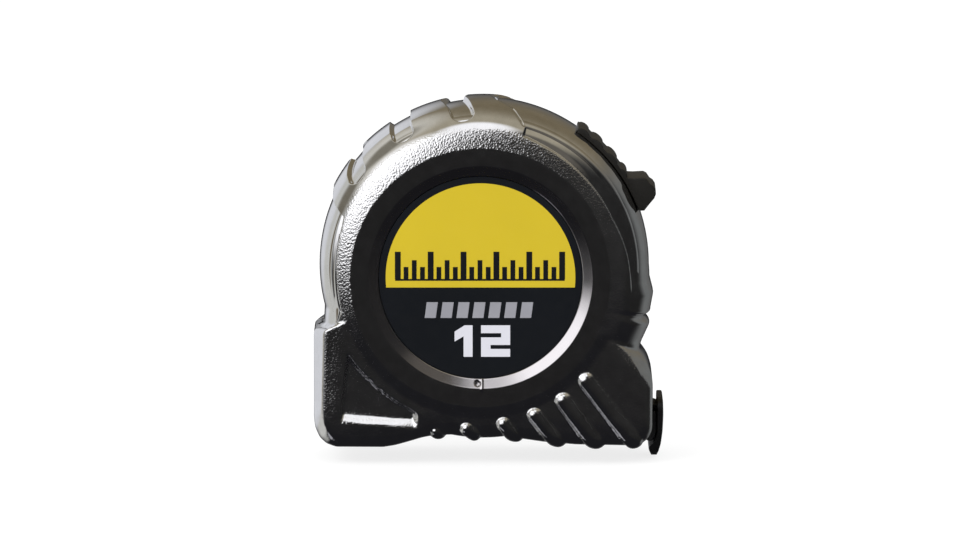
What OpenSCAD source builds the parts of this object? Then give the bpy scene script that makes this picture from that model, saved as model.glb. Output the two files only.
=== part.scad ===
// Pocket tape measure, 12 ft (3.66 m) blade in a compact metal-look case.
// Local construction frame: the spindle axis is the Y axis, the case's joint
// plane is y = 0, the blade mouth faces +X and the base faces -Z.  The whole
// assembly is shifted once, at the end, so that the origin is the centre of
// the underside of the overall envelope.  Millimetres throughout.

/* [Case] */
// Overall thickness of the case across the two faces
case_w = 28; // [27:0.5:30]
// Outer radius of the round upper part, raised (knurled) areas
rim_r = 31.9; // [31.7:0.1:32.3]
// Depth of the smooth recessed bands round the rim
band_d = 0.5; // [0.3:0.1:0.7]
// Distance from the spindle axis down to the flat underside
base_z = 32.7; // [32.2:0.1:33.5]
// Distance from the spindle axis back to the rear boot
rear_x = 31.6; // [31.6:0.1:32.4]
// Distance from the spindle axis forward to the nose
nose_x = 32.4; // [32.2:0.1:33.0]
// Thickness of the flat face walls
face_t = 2.5; // [2:0.1:3]

/* [Label] */
// Radius of each printed face disc
label_r = 19.2; // [18:0.1:20]
// Outer radius of the polished bevel round the disc
bevel_r = 21.1; // [20.5:0.1:22]
// Depth of the disc's surface below the face
label_d = 0.9; // [0.6:0.1:1.2]
// Radius where the flat of the face ends and the shoulder starts
face_r = 24.4; // [24:0.1:26]

/* [Blade and reel] */
// Width of the blade
blade_w = 12.7; // [12:0.1:12.8]
// Thickness of the blade with its coating
blade_t = 0.2; // [0.12:0.02:0.24]
// Rise of the blade's edges above its middle
blade_sag = 1.2; // [0.6:0.1:1.4]
// Radius that the blade is wound on
hub_r = 18.6; // [18:0.1:18.6]
// Radius of the fully wound coil
coil_r = 24.5; // [24:0.1:24.5]
// Radius of the fixed spindle
spindle_r = 3.5; // [3:0.1:4]
// Radial running clearance of the reel on the spindle
run_c = 0.06; // [0.03:0.01:0.1]
// Thickness of the power spring strip
spring_t = 0.35; // [0.2:0.05:0.45]
// Turns of the power spring
spring_turns = 9; // [6:1:10]

/* [Hook] */
// Thickness of the hook's steel plate
hook_t = 0.9; // [0.8:0.1:1.1]
// Half of the hook's width
hook_hw = 7.6; // [6.8:0.1:8.5]
// Distance of the hook's lower edge below the spindle axis
hook_low = 35.4; // [35:0.1:36]
// Free play of the hook along the blade
hook_play = 0.9; // [0.8:0.1:1.0]

/* [Lock] */
// Angle that the lock button slides round the rim
lock_deg = 10; // [6:1:10]
// Half of the lock button's width
button_hw = 5.6; // [5:0.1:6]

/* [Belt clip] */
// Width of the belt clip
clip_w = 13; // [11:0.5:15]
// Thickness of the belt clip's steel
clip_t = 1.2; // [1.0:0.1:1.4]
// Gap behind the clip for a belt or a pocket edge
clip_gap = 4.55; // [4.4:0.05:5]

/* [Hidden] */
$fn = 96;

hw = case_w / 2;                 // half the case's thickness
dx = 0.5;  dz = 0.8;             // centre of the round upper part
cav_r = rim_r - 2.4;             // inside radius of the case
in_y = hw - face_t;              // inside of each face wall
block_hw = hw - 0.8;             // half-thickness of the lower block
bz = coil_r + 0.25;              // blade's lower surface, below the axis
flange_r = coil_r + 0.8;
plate_x = nose_x + 1.3;          // inner face of the hook's plate
hook_out = plate_x + hook_t + 0.1; // foremost point of the hook
clip_y = hw - label_d + 0.05;    // seat of the belt clip on the far disc
clip_out = clip_y + 2 * clip_t + clip_gap;
low_z = hook_low;
mid_x = (hook_out - rear_x) / 2;
mid_y = (clip_out - hw) / 2;
screws = [[-26, -27.3], [24.5, -29.6], [dx - 28.4 * cos(45), dz + 28.4 * sin(45)], [dx + 28.4 * cos(74), dz + 28.4 * sin(74)]];

module place() translate([-mid_x, -mid_y, low_z]) children();
module ext_y(y0, y1) translate([0, y1, 0]) rotate([90, 0, 0]) linear_extrude(height = y1 - y0) children();
module ext_x(x0, x1) translate([x0, 0, 0]) rotate([90, 0, 90]) linear_extrude(height = x1 - x0) children();
module cyl_y(r, y0, y1, x = 0, z = 0) translate([x, y1, z]) rotate([90, 0, 0]) cylinder(r = r, h = y1 - y0);
module cone_y(r0, r1, y0, y1, x = 0, z = 0) translate([x, y0, z]) rotate([-90, 0, 0]) cylinder(r1 = r0, r2 = r1, h = y1 - y0);
module ring_y(ri, ro, y0, y1) difference() { cyl_y(ro, y0, y1); cyl_y(ri, y0 - 1, y1 + 1); }
module bar(p, q, w) { d = q - p; a = atan2(d[1], d[0]); l = norm(d);
    translate(p) rotate(a) { translate([0, -w / 2]) square([l, w]); circle(d = w, $fn = 32); translate([l, 0]) circle(d = w, $fn = 32); } }
// a segment of a ring round the centre of the rim, from angle a0 to a1, ccw from +X seen from -Y
module rim_seg(r0, r1, a0, a1, h) translate([dx, 0, dz]) rotate([90, 0, 0]) rotate([0, 0, a0])
    rotate_extrude(angle = a1 - a0) translate([r0, -h]) square([r1 - r0, 2 * h]);

// round upper part with its rolled shoulders
module drum() translate([dx, 0, dz]) rotate([90, 0, 0]) rotate_extrude()
    polygon([[0, -hw], [face_r + 0.4, -hw], [27.2, -hw + 0.5], [29.3, -hw + 1.5], [30.8, -hw + 2.8],
             [31.7, -hw + 4.3], [rim_r, -hw + 6], [rim_r, hw - 6], [31.7, hw - 4.3], [30.8, hw - 2.8],
             [29.3, hw - 1.5], [27.2, hw - 0.5], [face_r + 0.4, hw], [0, hw]]);
// square lower part: boot at the rear, nose at the front, flat underside
module side_outline() polygon([[-rear_x + 0.8, -8.6], [-rear_x, -9.6], [-rear_x, -base_z + 5.2], [-rear_x + 0.5, -base_z + 3],
    [-rear_x + 1.8, -base_z + 1.2], [-rear_x + 4.2, -base_z], [-18.2, -base_z], [-14.5, -base_z + 0.8], [-11, -base_z + 1.9], [-8, -base_z + 2.4],
    [1, -base_z + 2.5], [6, -base_z + 1.8], [12, -base_z + 0.9], [18, -base_z + 0.4], [nose_x - 4, -base_z + 0.3], [nose_x - 1.6, -base_z + 0.8],
    [nose_x - 0.4, -base_z + 2], [nose_x, -base_z + 3.4], [nose_x, -16.8], [nose_x - 0.5, -15], [nose_x - 2, -13], [nose_x - 0.6, -8.2], [nose_x - 1.3, -6.8], [nose_x - 0.7, -5.8], [30, 4], [-30, 4]]);
module block() intersection() {
    ext_y(-block_hw, block_hw) side_outline();
    ext_x(-rear_x - 1, nose_x + 1) polygon([[-block_hw, 6], [-block_hw, -base_z + 2.6], [-block_hw + 2.2, -base_z], [block_hw - 2.2, -base_z], [block_hw, -base_z + 2.6], [block_hw, 6]]);
    translate([0, 0, -40]) linear_extrude(height = 60) polygon([[-rear_x, -block_hw + 2.8], [-rear_x + 2.8, -block_hw], [nose_x - 2.6, -block_hw],
        [nose_x, -block_hw + 2.6], [nose_x, block_hw - 2.6], [nose_x - 2.6, block_hw], [-rear_x + 2.8, block_hw], [-rear_x, block_hw - 2.8]]);
}
module outer() { drum(); block(); }
// room for the reel, the lock lever, the blade's way out and the hollow boot
module cavity() {
    cyl_y(cav_r, -in_y, in_y, dx, dz);
    ext_y(-in_y + 0.8, in_y - 0.8) polygon([[-rear_x + 2.2, -6], [-rear_x + 2.2, -base_z + 4.4], [-rear_x + 4.6, -base_z + 2.2], [-17.6, -base_z + 2.2], [-9, -base_z + 4.5], [6, -base_z + 4.5], [6, -20], [-18, -6]]);
    ext_y(-7.3, 7.3) polygon([[2, -27.4], [nose_x + 2, -27.4], [nose_x + 2, -22.2], [25, -22.2], [22.5, -17], [12, -14], [2, -20]]);
}
// grip bars on both cheeks of the nose, and the bumps they leave under the base
module grips(s) for (b = [[[20, -19.8], [28.6, -31], 3.2], [[15.8, -23.4], [21.4, -31.2], 3.1], [[10.3, -26.2], [14.2, -31.2], 2.9], [[4.4, -27.9], [6.2, -31.2], 2.7]])
    ext_y(s > 0 ? block_hw - 0.6 : -hw, s > 0 ? hw : -block_hw + 0.6) bar(b[0], b[1], b[2]);
module cheek_recess() polygon([[-25.2, -14.8], [-26.6, -26.4], [-15.3, -27.4], [-12.4, -25.9], [-14.2, -24.6], [-18, -22.3], [-21.2, -19.4]]);

// one half of the case: s = -1 near half, s = 1 far half
module half(s) {
    y0 = s > 0 ? 0 : -hw - 1;
    difference() {
        union() {
            difference() {
                union() { intersection() { outer(); translate([-50, y0, -50]) cube([100, hw + 1, 100]); } grips(s); }
                cavity();
            }
            // boss that carries the spindle, and the screw bosses
            cyl_y(8, s > 0 ? 8.7 : -in_y - 0.5, s > 0 ? in_y + 0.5 : -8.7);
            for (i = [0:3]) cyl_y(i < 2 ? 2.6 : 2.1, s > 0 ? 0 : (i < 2 ? -in_y - 0.5 : -10.2), s > 0 ? (i < 2 ? in_y + 0.5 : 11.2) : 0, screws[i][0], screws[i][1]);
        }
        // bevelled seat of the face disc
        if (s > 0) { cyl_y(label_r, hw - label_d - 0.5, hw + 1); cone_y(label_r, bevel_r, hw - label_d, hw + 0.001); }
        else { cyl_y(label_r, -hw - 1, -hw + label_d + 0.5); cone_y(bevel_r, label_r, -hw - 0.001, -hw + label_d); }
        // smooth bands round the front and the rear of the rim
        rim_seg(rim_r - band_d, rim_r + 2, -14, 82, 8.2);
        rim_seg(rim_r - band_d, rim_r + 2, 151, 196, 8.2);
        // three finger grooves across the upper rear rim
        for (a = [100.5, 118.9, 137.4]) translate([dx, 0, dz]) rotate([0, -a, 0]) translate([rim_r + 2.1, 0, 0]) rotate([90, 0, 0]) cylinder(r = 3, h = 60, center = true, $fn = 48);
        // slot for the lock's neck
        rim_seg(cav_r - 1, rim_r + 2, 20.8, 46, 4);
        // triangular cheek recess
        if (s > 0) ext_y(block_hw - 0.9, hw + 1) cheek_recess(); else ext_y(-hw - 1, -block_hw + 0.9) cheek_recess();
        // socket for the spindle's end
        if (s > 0) cyl_y(spindle_r, 0, in_y + 0.6); else cyl_y(spindle_r, -in_y - 0.6, 0);
        // pocket of the mouth bumper
        translate([nose_x - 1.5, -6.05, -31.3]) cube([3, 12.1, 3.95]);
        // screw holes: clearance and counterbore in the far half, pilot in the near half
        for (p = screws) if (s > 0) { cyl_y(1.35, -1, hw + 1, p[0], p[1]); cyl_y(2.3, 10.4, hw + 1, p[0], p[1]); }
            else cyl_y(1.1, -9, 1, p[0], p[1]);
        // hole for the belt clip's screw
        if (s > 0) cyl_y(1.6, in_y - 1, hw + 1);
    }
}
module case_near() color([0.78, 0.79, 0.8]) half(-1);
module case_far() color([0.74, 0.75, 0.77]) half(1);
module label_near() color([0.83, 0.74, 0.16]) cyl_y(label_r - 0.03, -hw + label_d, -hw + label_d + 0.48);
module label_far() color([0.08, 0.09, 0.1]) difference() { cyl_y(label_r - 0.03, hw - label_d - 0.48, hw - label_d); cyl_y(1.7, hw - 3, hw + 1); }

// fixed post on which the reel turns; the power spring's inner end hooks into its slot
module spindle() color([0.62, 0.63, 0.65]) difference() {
    cyl_y(spindle_r, -in_y - 0.5, in_y + 0.5);
    translate([-0.35, -6, 0]) cube([0.7, 12, spindle_r + 1]);
    cyl_y(1.1, 7, in_y + 2);
}
// flat power spring wound between the spindle and the drum
function spiral(r0, r1, n, seg) = [for (i = [0:n * seg]) let(a = 90 + 360 * i / seg, r = r0 + (r1 - r0) * i / (n * seg)) [r * cos(a), r * sin(a)]];
module power_spring() color([0.36, 0.4, 0.5]) {
    a = spiral(spindle_r + 0.25, hub_r - 2.2, spring_turns, 24);
    b = spiral(spindle_r + 0.25 + spring_t, hub_r - 2.2 + spring_t, spring_turns, 24);
    n = len(a);
    ext_y(-5.6, 5.6) polygon(concat(a, [for (i = [0:n - 1]) b[n - 1 - i]]));
}
// drum with its far flange; the blade is wound on it
module reel_drum() color([0.16, 0.17, 0.19]) difference() {
    union() {
        ring_y(hub_r - 1.4, hub_r - 0.02, -6.5, 6.6);
        cyl_y(flange_r, 6.6, 7.7);
    }
    cyl_y(spindle_r + run_c, -20, 20);
}
module reel_cover() color([0.2, 0.21, 0.23]) difference() {
    union() { cyl_y(flange_r, -7.7, -6.6); ring_y(hub_r - 3.2, hub_r - 1.5, -6.6, -5.9); }
    cyl_y(spindle_r + run_c, -20, 20);
}
module reel_washer(s) color([0.72, 0.73, 0.75]) difference() {
    if (s > 0) cyl_y(6.5, 8.15, 8.65); else cyl_y(6.5, -8.65, -8.15);
    cyl_y(spindle_r + 0.02, -20, 20);
}
module blade_coil() color([0.86, 0.72, 0.15]) ring_y(hub_r, coil_r, -blade_w / 2, blade_w / 2);

// section of the blade: shallow arc, open upwards
module blade_section() {
    n = 10; hwb = blade_w / 2;
    lo = [for (i = [0:n]) let(y = -hwb + 2 * hwb * i / n) [y, -bz + blade_sag * (y / hwb) * (y / hwb)]];
    polygon(concat(lo, [for (i = [0:n]) lo[n - i] + [0, blade_t]]));
}
module blade_lead() color([0.86, 0.72, 0.15]) ext_x(9, 22.5) blade_section();
module blade_out() color([0.86, 0.72, 0.15]) ext_x(22.5, 24.5) blade_section();
rivet_y = [-2.6, 2.6];
rivet_x = 28.2;
module blade_end() color([0.86, 0.72, 0.15]) difference() {
    ext_x(24.5, plate_x - 0.15) blade_section();
    for (y = rivet_y) translate([rivet_x, y, -bz - 3]) cylinder(r = 1.0, h = 6, $fn = 32);
}
module hook_rivets() color([0.6, 0.61, 0.62]) for (y = rivet_y) translate([rivet_x, y, -bz]) {
    translate([0, 0, -1.25]) cylinder(r = 0.96, h = 2.15, $fn = 32);
    translate([0, 0, 0.8]) cylinder(r = 1.7, h = 0.4, $fn = 32);
    translate([0, 0, -1.35]) cylinder(r = 1.7, h = 0.35, $fn = 32);
}
// hook: tab under the blade with two slots, and the plate in front of the nose
module end_hook() color([0.1, 0.1, 0.11]) {
    difference() {
        translate([25.6, -4.6, -bz - 0.95]) cube([plate_x + hook_t - 25.6, 9.2, 0.85]);
        for (y = rivet_y) { translate([rivet_x, y, -bz - 2]) cylinder(r = 1.2, h = 3, $fn = 32);
            translate([rivet_x - hook_play, y, -bz - 2]) cylinder(r = 1.2, h = 3, $fn = 32);
            translate([rivet_x - hook_play, y - 1.2, -bz - 2]) cube([hook_play, 2.4, 3]); }
    }
    difference() {
        intersection() {
            ext_x(plate_x - 3, plate_x + 3) polygon([[-5.6, -23.6], [-hook_hw, -25.2], [-hook_hw, -30.8], [-5.4, -33.6], [-2.6, -hook_low], [2.6, -hook_low],
                [5.4, -33.6], [hook_hw, -30.8], [hook_hw, -25.2], [5.6, -23.6]]);
            // the plate leans back towards the nose at its lower edge
            ext_y(-10, 10) polygon([[plate_x, -23.5], [hook_out - 0.15, -23.5], [hook_out, -27], [hook_out - 0.05, -30], [hook_out - 0.4, -32.6],
                [hook_out - 1.2, -hook_low - 0.1], [hook_out - 2.05, -hook_low - 0.1], [hook_out - 1.3, -32.4], [plate_x, -30], [plate_x, -27]]);
        }
        // the nail slot
        translate([plate_x - 2, -0.6, -33.6]) cube([4, 1.2, 4.2]);
    }
}

// thumb lock: ribbed button outside, neck through the slot, lever and pad inside
function rim_pt(r, a) = [dx + r * cos(a), dz + r * sin(a)];
function rim_arc(r, a0, a1, n) = [for (i = [0:n]) rim_pt(r, a0 + (a1 - a0) * i / n)];
module lock_button() color([0.09, 0.09, 0.1]) {
    ri = rim_r - band_d + 0.3;
    ext_y(-button_hw, button_hw) polygon(concat(rim_arc(ri, 20, 56, 12), [rim_pt(ri + 0.5, 56.2)], rim_arc(ri + 1, 55.4, 51.8, 3), [rim_pt(ri + 0.5, 51)],
        rim_arc(ri + 0.95, 49.8, 44.8, 3), [rim_pt(ri + 0.45, 44)], rim_arc(ri + 0.95, 43, 37.4, 3), [rim_pt(ri + 0.45, 36.7)], rim_arc(ri + 0.95, 35.8, 32.4, 2),
        [[28.9, 17.9], [31.6, 17.9], [32.7, 16.9], [33.4, 16.2], [33.7, 15], [33.3, 14], [31, 11.6]]));
    ext_y(-3.6, 3.6) polygon(concat(rim_arc(cav_r - 0.38, 31.2, 45.6, 6), rim_arc(ri + 0.1, 45.6, 31.2, 6)));
}
module lock_lever() color([0.22, 0.22, 0.24]) {
    rim_seg(cav_r - 1.6, cav_r - 0.4, -43, 58, 3.6);
    translate([dx, 0, dz]) rotate([0, -lock_deg, 0]) translate([-dx, -3.6, -dz - 22.6]) translate([14.4, 0, 0]) cube([4.4, 7.2, 2.4]);
}
module brake_pad() color([0.3, 0.28, 0.26])
    translate([dx, 0, dz]) rotate([0, -lock_deg, 0]) translate([-dx, -3, -dz - 24]) translate([14.5, 0, 0]) cube([4.2, 6, 1.38]);

module mouth_bumper() color([0.07, 0.07, 0.08]) translate([nose_x - 1.5, -6, -31.25]) cube([2.4, 12, 3.85]);
module blade_guide() color([0.5, 0.5, 0.48]) translate([9, -6.4, -27.4]) cube([14, 12.8, 27.4 - bz - 0.1]);
module case_screws() color([0.55, 0.56, 0.58]) for (p = screws) {
    cyl_y(1.08, -8, 10.5, p[0], p[1]);
    difference() { cyl_y(2.15, 10.42, 12, p[0], p[1]); translate([p[0] - 1.6, 11.4, p[1] - 0.25]) cube([3.2, 2, 0.5]); translate([p[0] - 0.25, 11.4, p[1] - 1.6]) cube([0.5, 2, 3.2]); }
}
// belt clip: spring-steel strip folded over at the top
function clip_arc(yc, zt, r, back, n = 16) = [for (i = [0:n]) let(a = back ? 180 * i / n : 180 - 180 * i / n) [yc + r * cos(a), zt + r * sin(a)]];
module belt_clip() color([0.7, 0.71, 0.73]) {
    y0 = clip_y; y1 = clip_y + clip_t; y2 = y1 + clip_gap; y3 = y2 + clip_t; zt = 15.5; rm = clip_gap / 2; yc = (y0 + y3) / 2;
    difference() {
        ext_x(-clip_w / 2, clip_w / 2) polygon(concat([[y0, -6]], clip_arc(yc, zt, rm + clip_t, false),
            [[y3, -15], [y3 - 0.9, -17.4], [y3, -20.5], [y3 - 1.1, -20.9], [y2 - 1.0, -17.4], [y2, -14.6]], clip_arc(yc, zt, rm, true), [[y1, -6]]));
        cyl_y(1.7, y0 - 1, y1 + 1);
    }
}
module belt_clip_screw() color([0.55, 0.56, 0.58]) difference() {
    union() { cyl_y(1.08, 7.5, clip_y + clip_t + 0.1); cyl_y(1.55, in_y + 0.55, clip_y + clip_t + 0.1); cyl_y(2.9, clip_y + clip_t + 0.02, clip_y + clip_t + 1.1); }
    translate([-2, clip_y + clip_t + 0.6, -0.3]) cube([4, 2, 0.6]);
    translate([-0.3, clip_y + clip_t + 0.6, -2]) cube([0.6, 2, 4]);
}

place() case_near();
place() case_far();
place() label_near();
place() label_far();
place() spindle();
place() power_spring();
place() reel_drum();
place() reel_cover();
place() reel_washer(-1);  // reel_washer_near
place() reel_washer(1);  // reel_washer_far
place() blade_coil();
place() blade_lead();
place() blade_out();
place() blade_end();
place() end_hook();
place() hook_rivets();
place() lock_button();
place() lock_lever();
place() brake_pad();
place() mouth_bumper();
place() blade_guide();
place() case_screws();
place() belt_clip();
place() belt_clip_screw();
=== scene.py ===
import math
import bmesh
import bpy
import numpy as np
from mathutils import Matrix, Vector


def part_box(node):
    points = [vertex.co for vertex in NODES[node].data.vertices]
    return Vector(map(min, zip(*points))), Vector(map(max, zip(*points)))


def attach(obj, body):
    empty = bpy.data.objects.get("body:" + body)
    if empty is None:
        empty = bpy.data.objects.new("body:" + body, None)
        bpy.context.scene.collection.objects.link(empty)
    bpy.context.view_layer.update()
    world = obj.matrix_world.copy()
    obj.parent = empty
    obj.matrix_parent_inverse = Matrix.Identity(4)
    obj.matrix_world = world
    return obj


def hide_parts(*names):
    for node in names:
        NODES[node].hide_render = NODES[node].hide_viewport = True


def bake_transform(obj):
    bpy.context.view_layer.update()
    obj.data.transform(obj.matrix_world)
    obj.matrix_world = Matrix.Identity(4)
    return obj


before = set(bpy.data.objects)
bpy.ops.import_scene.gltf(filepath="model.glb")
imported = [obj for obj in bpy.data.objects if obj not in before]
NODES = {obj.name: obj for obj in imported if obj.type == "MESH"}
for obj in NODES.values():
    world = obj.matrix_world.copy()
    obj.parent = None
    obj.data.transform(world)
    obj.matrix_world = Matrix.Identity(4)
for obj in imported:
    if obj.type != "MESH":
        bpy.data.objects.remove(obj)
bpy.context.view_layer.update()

# ---------------------------------------------------------------- local frame
# Local millimetres: the spindle axis is x = z = 0, the joint plane is y = 0,
# the near face looks to -y and the blade leaves to +x.
_lo, _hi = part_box("label_near")
_clo, _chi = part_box("case_near")
OX, OZ, OY = (_lo[0] + _hi[0]) / 2, (_lo[2] + _hi[2]) / 2, _chi[1]
MM = 0.001


def W(p):
    p = np.asarray(p, dtype=float)
    return p * MM + np.array([OX, OY, OZ])


def L2W(x, y, z):
    return Vector((OX + x * MM, OY + y * MM, OZ + z * MM))


def smooth(a, b, x):
    t = np.clip((np.asarray(x, dtype=float) - a) / (b - a), 0.0, 1.0)
    return t * t * (3 - 2 * t)


# ------------------------------------------------------------------ materials
def new_mat(name):
    m = bpy.data.materials.new(name)
    m.use_nodes = True
    nt = m.node_tree
    nt.nodes.clear()
    out = nt.nodes.new("ShaderNodeOutputMaterial")
    bs = nt.nodes.new("ShaderNodeBsdfPrincipled")
    nt.links.new(bs.outputs[0], out.inputs[0])
    return m, nt, bs


def node(nt, kind, **kw):
    n = nt.nodes.new(kind)
    for k, v in kw.items():
        setattr(n, k, v)
    return n


def link(nt, a, b):
    nt.links.new(a, b)


def noise(nt, vec, scale, detail=3.0, rough=0.55):
    n = node(nt, "ShaderNodeTexNoise")
    n.inputs["Scale"].default_value = scale
    n.inputs["Detail"].default_value = detail
    n.inputs["Roughness"].default_value = rough
    if vec is not None:
        link(nt, vec, n.inputs["Vector"])
    return n


def ramp(nt, fac, stops):
    r = node(nt, "ShaderNodeValToRGB")
    el = r.color_ramp.elements
    while len(el) < len(stops):
        el.new(0.5)
    for e, (p, c) in zip(el, stops):
        e.position = p
        e.color = (c[0], c[1], c[2], 1) if len(c) == 3 else c
    link(nt, fac, r.inputs[0])
    return r


def maprange(nt, val, a, b, c, d):
    m = node(nt, "ShaderNodeMapRange")
    m.inputs["From Min"].default_value = a
    m.inputs["From Max"].default_value = b
    m.inputs["To Min"].default_value = c
    m.inputs["To Max"].default_value = d
    link(nt, val, m.inputs["Value"])
    return m


def math_n(nt, op, a, b=None, clamp=False):
    m = node(nt, "ShaderNodeMath", operation=op, use_clamp=clamp)
    for i, v in enumerate((a, b)):
        if v is None:
            continue
        if isinstance(v, (int, float)):
            m.inputs[i].default_value = v
        else:
            link(nt, v, m.inputs[i])
    return m.outputs[0]


def objco(nt):
    t = node(nt, "ShaderNodeTexCoord")
    return t.outputs["Object"]


def simple(name, base, metal=0.0, rough=(0.3, 0.45), scale=900.0, bump=0.15, dist=0.00006,
           var=0.12, spec=None, coat=0.0, coat_rough=0.1, vec_scale=None):
    """A moulded, printed or turned surface: fine grain in colour, roughness and bump."""
    m, nt, bs = new_mat(name)
    co = objco(nt)
    if vec_scale is not None:
        mp = node(nt, "ShaderNodeMapping")
        mp.inputs["Scale"].default_value = vec_scale
        link(nt, co, mp.inputs["Vector"])
        co = mp.outputs[0]
    n1 = noise(nt, co, scale, 4.0, 0.6)
    n2 = noise(nt, co, scale * 0.06, 3.0, 0.5)
    dark = tuple(max(0.0, c * (1 - var)) for c in base)
    lite = tuple(min(1.0, c * (1 + var)) for c in base)
    cr = ramp(nt, n2.outputs["Fac"], [(0.3, dark), (0.7, lite)])
    link(nt, cr.outputs[0], bs.inputs["Base Color"])
    rr = maprange(nt, n1.outputs["Fac"], 0.3, 0.7, rough[0], rough[1])
    link(nt, rr.outputs[0], bs.inputs["Roughness"])
    bp = node(nt, "ShaderNodeBump")
    bp.inputs["Strength"].default_value = bump
    bp.inputs["Distance"].default_value = dist
    link(nt, n1.outputs["Fac"], bp.inputs["Height"])
    link(nt, bp.outputs[0], bs.inputs["Normal"])
    bs.inputs["Metallic"].default_value = metal
    if spec is not None:
        bs.inputs["Specular IOR Level"].default_value = spec
    if coat:
        bs.inputs["Coat Weight"].default_value = coat
        bs.inputs["Coat Roughness"].default_value = coat_rough
    return m


def chrome_mat():
    m, nt, bs = new_mat("chrome_shell_plating")
    co = objco(nt)
    at = node(nt, "ShaderNodeAttribute", attribute_name="stipple", attribute_type="GEOMETRY")
    mask = at.outputs["Fac"]
    # cast stipple: rounded grains about half a millimetre across over a slow wave
    v1 = node(nt, "ShaderNodeTexVoronoi", feature="SMOOTH_F1", distance="EUCLIDEAN")
    v1.inputs["Scale"].default_value = 2900.0
    v1.inputs["Smoothness"].default_value = 0.7
    link(nt, co, v1.inputs["Vector"])
    n1 = noise(nt, co, 3400.0, 2.0, 0.5)
    h1 = math_n(nt, "ADD", v1.outputs["Distance"], math_n(nt, "MULTIPLY", n1.outputs["Fac"], 0.7))
    h1 = math_n(nt, "MULTIPLY", h1, mask)
    n2 = noise(nt, co, 160.0, 2.0, 0.5)       # long ripple of a plated moulding
    bp1 = node(nt, "ShaderNodeBump")
    bp1.inputs["Strength"].default_value = 0.6
    bp1.inputs["Distance"].default_value = 0.0001
    link(nt, h1, bp1.inputs["Height"])
    bp2 = node(nt, "ShaderNodeBump")
    bp2.inputs["Strength"].default_value = 0.10
    bp2.inputs["Distance"].default_value = 0.0002
    link(nt, n2.outputs["Fac"], bp2.inputs["Height"])
    link(nt, bp1.outputs[0], bp2.inputs["Normal"])
    link(nt, bp2.outputs[0], bs.inputs["Normal"])
    n3 = noise(nt, co, 420.0, 5.0, 0.65)       # handling haze
    r0 = maprange(nt, n3.outputs["Fac"], 0.35, 0.75, 0.05, 0.12)
    soft = node(nt, "ShaderNodeAttribute", attribute_name="soft", attribute_type="GEOMETRY")
    r1 = math_n(nt, "ADD", math_n(nt, "MULTIPLY", mask, 0.08), math_n(nt, "MULTIPLY", soft.outputs["Fac"], 0.09))
    link(nt, math_n(nt, "ADD", r0.outputs[0], r1), bs.inputs["Roughness"])
    cr = ramp(nt, n3.outputs["Fac"], [(0.3, (0.80, 0.80, 0.80)), (0.7, (0.90, 0.90, 0.90))])
    mx = node(nt, "ShaderNodeMix", data_type="RGBA")         # the turned bevel round the label is duller
    link(nt, soft.outputs["Fac"], mx.inputs["Factor"])
    link(nt, cr.outputs[0], mx.inputs["A"])
    mx.inputs["B"].default_value = (0.62, 0.597, 0.605, 1)
    link(nt, mx.outputs["Result"], bs.inputs["Base Color"])
    bs.inputs["Metallic"].default_value = 1.0
    return m


def blade_mat():
    """Yellow enamel with inch graduations on the upper face, from the distance along the blade."""
    m, nt, bs = new_mat("blade_enamel")
    co = objco(nt)
    sep = node(nt, "ShaderNodeSeparateXYZ")
    link(nt, co, sep.inputs[0])
    x = math_n(nt, "SUBTRACT", sep.outputs[0], OX + 0.0333)
    y = math_n(nt, "SUBTRACT", sep.outputs[1], OY)
    edge = math_n(nt, "SUBTRACT", 0.00635, math_n(nt, "ABSOLUTE", y))   # distance in from either edge

    def ticks(pitch, width, reach):
        f = math_n(nt, "ABSOLUTE", math_n(nt, "SUBTRACT", math_n(nt, "FRACT", math_n(nt, "ADD", math_n(nt, "DIVIDE", x, pitch), 200.5)), 0.5))
        on = math_n(nt, "LESS_THAN", math_n(nt, "MULTIPLY", f, pitch), width / 2)
        near = math_n(nt, "LESS_THAN", edge, reach)
        return math_n(nt, "MULTIPLY", on, near)

    k = ticks(0.0015875, 0.00026, 0.0019)
    k = math_n(nt, "MAXIMUM", k, ticks(0.003175, 0.00028, 0.0026))
    k = math_n(nt, "MAXIMUM", k, ticks(0.00635, 0.0003, 0.0034))
    k = math_n(nt, "MAXIMUM", k, ticks(0.0127, 0.00034, 0.0044))
    k = math_n(nt, "MAXIMUM", k, ticks(0.0254, 0.00045, 0.0070))
    n1 = noise(nt, co, 500.0, 4.0, 0.6)
    cr = ramp(nt, n1.outputs["Fac"], [(0.3, (0.66, 0.46, 0.03)), (0.7, (0.78, 0.57, 0.05))])
    mx = node(nt, "ShaderNodeMix", data_type="RGBA")
    link(nt, k, mx.inputs["Factor"])
    link(nt, cr.outputs[0], mx.inputs["A"])
    mx.inputs["B"].default_value = (0.015, 0.015, 0.017, 1)
    link(nt, mx.outputs["Result"], bs.inputs["Base Color"])
    rr = maprange(nt, n1.outputs["Fac"], 0.3, 0.7, 0.28, 0.4)
    link(nt, rr.outputs[0], bs.inputs["Roughness"])
    bp = node(nt, "ShaderNodeBump")
    bp.inputs["Strength"].default_value = 0.1
    bp.inputs["Distance"].default_value = 0.00005
    link(nt, n1.outputs["Fac"], bp.inputs["Height"])
    link(nt, bp.outputs[0], bs.inputs["Normal"])
    return m


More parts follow.
